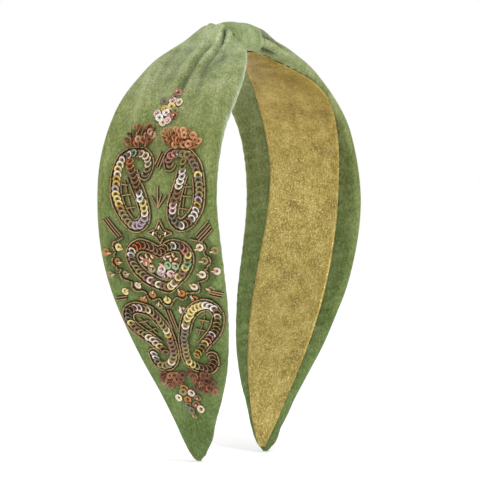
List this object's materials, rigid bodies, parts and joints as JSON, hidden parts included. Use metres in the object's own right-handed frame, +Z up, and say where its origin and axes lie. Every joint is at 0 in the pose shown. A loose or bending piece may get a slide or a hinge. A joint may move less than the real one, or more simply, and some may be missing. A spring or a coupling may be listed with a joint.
{
  "type": "knotted headband",
  "caption": "Wide velvet headband with a gathered knot at the crown, pointed legs, a gold lining and a sequin and bullion-wire motif on one leg.",
  "frame": {"origin": "the lining's inner face under the middle of the knot, where the crown rests on the head", "axes": "+Z up, X from ear to ear with the embroidered leg at -X, -Y towards the front edge"},
  "size_m": [0.1267, 0.0468, 0.1502],
  "materials": {
    "velvet": "sage green cotton velvet, short soft pile that lightens where it is brushed",
    "gold_lurex": "gold metallised lurex ribbon with a fine glitter",
    "core_plastic": "plain moulded spring strip, hidden inside",
    "foam": "soft wadding, hidden inside",
    "bullion_wire": "antique bronze coiled bullion wire, couched down",
    "sequin": "flat iridescent sequins, pale gold with pink, yellow and grey",
    "copper_sequin": "flat copper-brown sequins, satin",
    "bead": "small amber and silver glass beads"
  },
  "bodies": {
    "crown": {"core_crown": "core_plastic", "lining_crown": "gold_lurex", "gathered_ends": "velvet", "knot_wrap": "velvet"},
    "left_leg": {"core_left": "core_plastic", "foam_left": "foam", "velvet_cover_left": "velvet", "lining_left": "gold_lurex", "upper_rear_sequins": "sequin", "upper_rear_outer_purl": "bullion_wire", "upper_rear_inner_purl": "bullion_wire", "upper_rear_net": "bullion_wire", "upper_front_sequins": "sequin", "upper_front_outer_purl": "bullion_wire", "upper_front_inner_purl": "bullion_wire", "upper_front_net": "bullion_wire", "lower_rear_sequins": "sequin", "lower_rear_outer_purl": "bullion_wire", "lower_rear_inner_purl": "bullion_wire", "lower_rear_net": "bullion_wire", "lower_front_sequins": "sequin", "lower_front_outer_purl": "bullion_wire", "lower_front_inner_purl": "bullion_wire", "lower_front_net": "bullion_wire", "heart_sequins": "sequin", "heart_outer_purl": "bullion_wire", "heart_inner_purl": "bullion_wire", "heart_beads": "bead", "scallop_purl": "bullion_wire", "star_purl": "bullion_wire", "scallop_sequin_1": "sequin", "scallop_sequin_2": "sequin", "scallop_sequin_3": "sequin", "scallop_sequin_4": "sequin", "scallop_sequin_5": "sequin", "scallop_sequin_6": "sequin", "scallop_sequin_7": "sequin", "scallop_sequin_8": "sequin", "scallop_sequin_9": "sequin", "scallop_sequin_10": "sequin", "scallop_sequin_11": "sequin", "top_strokes": "bullion_wire", "fan_strokes": "bullion_wire", "side_rear_strokes": "bullion_wire", "side_front_strokes": "bullion_wire", "lower_rear_strokes": "bullion_wire", "lower_front_strokes": "bullion_wire", "centre_strokes": "bullion_wire", "upper_rear_flame": "copper_sequin", "upper_front_flame": "copper_sequin", "lower_rear_flame": "copper_sequin", "lower_front_flame": "copper_sequin", "top_spray": "sequin", "bottom_spray": "sequin"},
    "right_leg": {"core_right": "core_plastic", "foam_right": "foam", "velvet_cover_right": "velvet", "lining_right": "gold_lurex"}
  },
  "joints": [
    {"name": "left_leg_flex", "type": "hinge", "parent": "crown", "child": "left_leg", "pos_m": [-0.01, 0, 0.009], "axis": [0, 1, 0], "range_deg": [-3, 13], "stiffness_Nm_per_rad": 1.3},
    {"name": "right_leg_flex", "type": "hinge", "parent": "crown", "child": "right_leg", "pos_m": [0.01, 0, 0.009], "axis": [0, -1, 0], "range_deg": [-3, 13], "stiffness_Nm_per_rad": 1.3}
  ]
}
